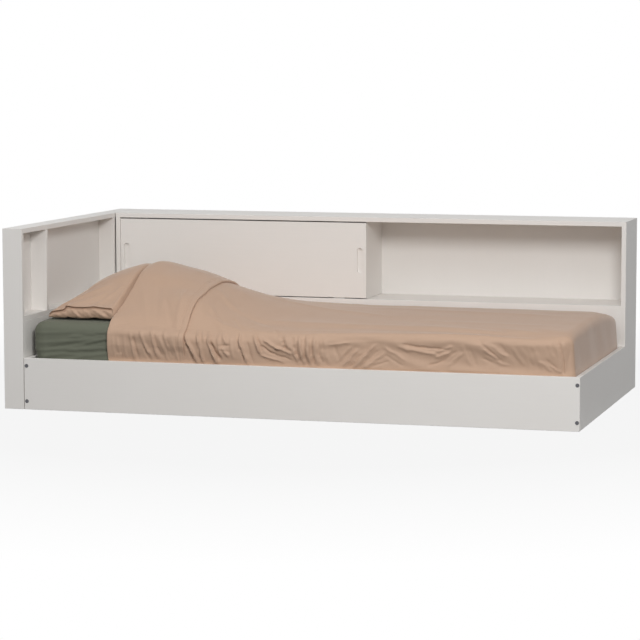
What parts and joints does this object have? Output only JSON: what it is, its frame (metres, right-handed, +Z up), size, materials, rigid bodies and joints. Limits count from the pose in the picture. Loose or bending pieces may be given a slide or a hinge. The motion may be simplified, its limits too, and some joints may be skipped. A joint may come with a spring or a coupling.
{
  "type": "corner bed with shelf cases",
  "caption": "Low single bed set into a corner of cases: a shallow shelf case at the head and a deep cabinet with a sliding door along the back, made up with bedding.",
  "frame": {"origin": "on the floor, below the centre of the whole bed", "axes": "+X from the head end to the foot, +Y from the open front rail to the cabinet's back, +Z up"},
  "size_m": [2.13, 1.2, 0.66],
  "materials": {
    "white_board": "off-white painted board, satin, fine brushed grain",
    "back_board": "thin hardboard, white lacquer on the inner face",
    "pine": "planed bare pine",
    "beech": "fluted beech dowel",
    "fitting_zinc": "zinc-plated steel",
    "track_plastic": "white extruded plastic",
    "glide_plastic": "moulded nylon",
    "spacer_felt": "pressed felt washer",
    "tape": "woven webbing",
    "ticking": "knitted mattress cover",
    "green_sheet": "sage green cotton jersey",
    "tan_cotton": "tan cotton sateen"
  },
  "bodies": {
    "bed": {"head_case_front_end": "white_board", "head_case_rear_end": "white_board", "head_case_divider": "white_board", "head_case_partition": "white_board", "head_case_top": "white_board", "head_case_shelf": "white_board", "head_case_lower_front": "white_board", "side_case_left_end": "white_board", "side_case_right_end": "white_board", "side_case_divider": "white_board", "side_case_lower_divider": "white_board", "side_case_top": "white_board", "side_case_shelf": "white_board", "side_case_lower_front": "white_board", "front_rail": "white_board", "back_rail": "white_board", "head_panel": "white_board", "foot_panel": "white_board", "head_case_back": "back_board", "side_case_back": "back_board", "head_case_cams": "fitting_zinc", "head_case_cam_bolts": "fitting_zinc", "head_case_dowels": "beech", "side_case_cams": "fitting_zinc", "side_case_cam_bolts": "fitting_zinc", "side_case_dowels": "beech", "door_bottom_track": "track_plastic", "door_top_track": "track_plastic", "slat_ledge_front": "pine", "slat_ledge_back": "pine", "slat_01": "pine", "slat_02": "pine", "slat_03": "pine", "slat_04": "pine", "slat_05": "pine", "slat_06": "pine", "slat_07": "pine", "slat_08": "pine", "slat_09": "pine", "slat_10": "pine", "slat_11": "pine", "slat_12": "pine", "slat_13": "pine", "slat_tapes": "tape", "bed_bolts": "fitting_zinc", "bed_barrel_nuts": "fitting_zinc", "ledge_screws": "fitting_zinc", "slat_screws": "fitting_zinc", "case_link_bolts": "fitting_zinc", "case_link_spacers": "spacer_felt", "mattress": "ticking", "fitted_sheet": "green_sheet", "pillow": "tan_cotton", "duvet": "tan_cotton"},
    "door": {"sliding_door": "white_board", "door_bottom_glides": "glide_plastic", "door_top_guides": "glide_plastic"}
  },
  "joints": [
    {"name": "door_slide", "type": "slide", "parent": "bed", "child": "door", "axis": [1, 0, 0], "range_m": [0, 0.999]}
  ]
}
